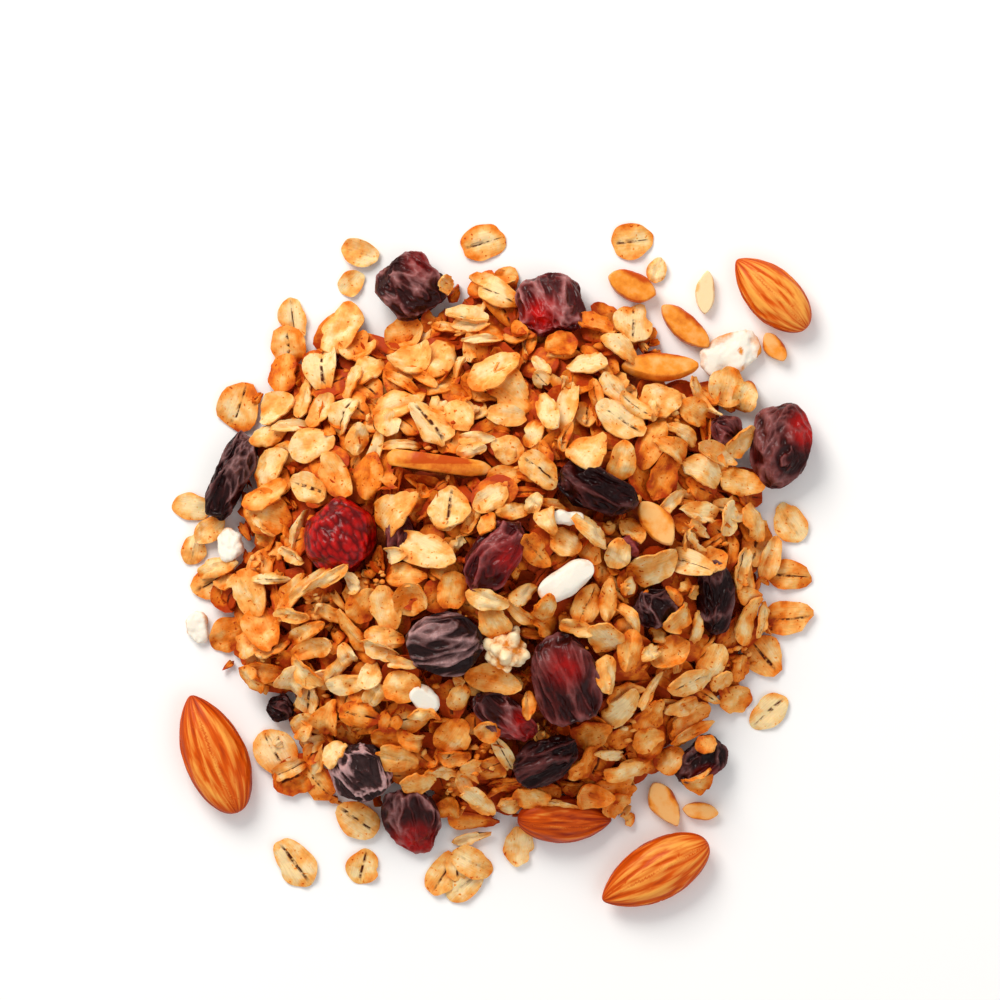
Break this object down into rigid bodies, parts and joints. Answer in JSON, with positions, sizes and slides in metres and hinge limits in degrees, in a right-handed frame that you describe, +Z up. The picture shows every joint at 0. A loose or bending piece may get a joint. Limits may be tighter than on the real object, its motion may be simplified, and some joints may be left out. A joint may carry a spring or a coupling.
{
  "type": "heap of granola",
  "caption": "Heap of toasted oat granola on its flat underside, with dried fruit, almonds, almond slivers and coconut lying in it and a few pieces strayed round its foot.",
  "frame": {"origin": "middle of the whole's bounding box on the table, under the heap", "axes": "+Z up from the table; +Y towards the top of the picture, which looks straight down; +X towards its right"},
  "size_m": [0.123, 0.1308, 0.0295],
  "materials": {
    "toasted_oat": null,
    "pale_oat": null,
    "popped_grain": null,
    "red_fruit": null,
    "dark_fruit": null,
    "black_fruit": null,
    "almond_skin": null,
    "almond_flesh": null,
    "coconut": null
  },
  "bodies": {
    "root": {"granola_heap": "toasted_oat", "cranberry_top": "red_fruit", "cherry_left": "red_fruit", "cranberry_middle": "red_fruit", "cranberry_large": "red_fruit", "cranberry_lower": "red_fruit", "cranberry_bottom": "red_fruit", "cranberry_small": "red_fruit", "raisin_top_left": "dark_fruit", "raisin_right": "dark_fruit", "raisin_beside_cherry": "dark_fruit", "raisin_upper_right": "dark_fruit", "prune_strip_left": "black_fruit", "prune_upper": "black_fruit", "prune_centre": "black_fruit", "raisin_lower": "black_fruit", "raisin_right_low": "black_fruit", "prune_right": "black_fruit", "raisin_lower_right": "black_fruit", "prune_lower_left": "black_fruit", "raisin_edge_left": "black_fruit", "almond_left": "almond_skin", "almond_lower_right": "almond_skin", "almond_upper_right": "almond_skin", "almond_half_buried": "almond_skin", "almond_sliver_top": "almond_flesh", "almond_sliver_top_low": "almond_flesh", "almond_sliver_upper": "almond_flesh", "almond_sliver_left": "almond_flesh", "almond_sliver_right": "almond_flesh", "almond_sliver_edge": "almond_flesh", "almond_sliver_foot": "almond_flesh", "almond_sliver_foot_small": "almond_flesh", "almond_sliver_stray": "almond_flesh", "coconut_large": "coconut", "coconut_curl": "coconut", "coconut_left": "coconut", "coconut_seed": "coconut", "coconut_foot": "coconut", "coconut_strip": "coconut", "popped_grain": "popped_grain", "oat_stray_top": "pale_oat", "oat_stray_top_right": "pale_oat", "oat_stray_small": "pale_oat", "oat_stray_top_left": "pale_oat", "oat_stray_top_left_low": "pale_oat", "oat_stray_bottom_left": "pale_oat", "oat_stray_edge": "pale_oat", "oat_stray_left": "pale_oat", "oat_stray_left_low": "pale_oat", "oat_stray_foot": "pale_oat", "oat_stray_right": "pale_oat", "oat_stray_right_low": "pale_oat", "oat_stray_bottom": "pale_oat", "oat_cluster_stray": "pale_oat"}
  },
  "joints": []
}
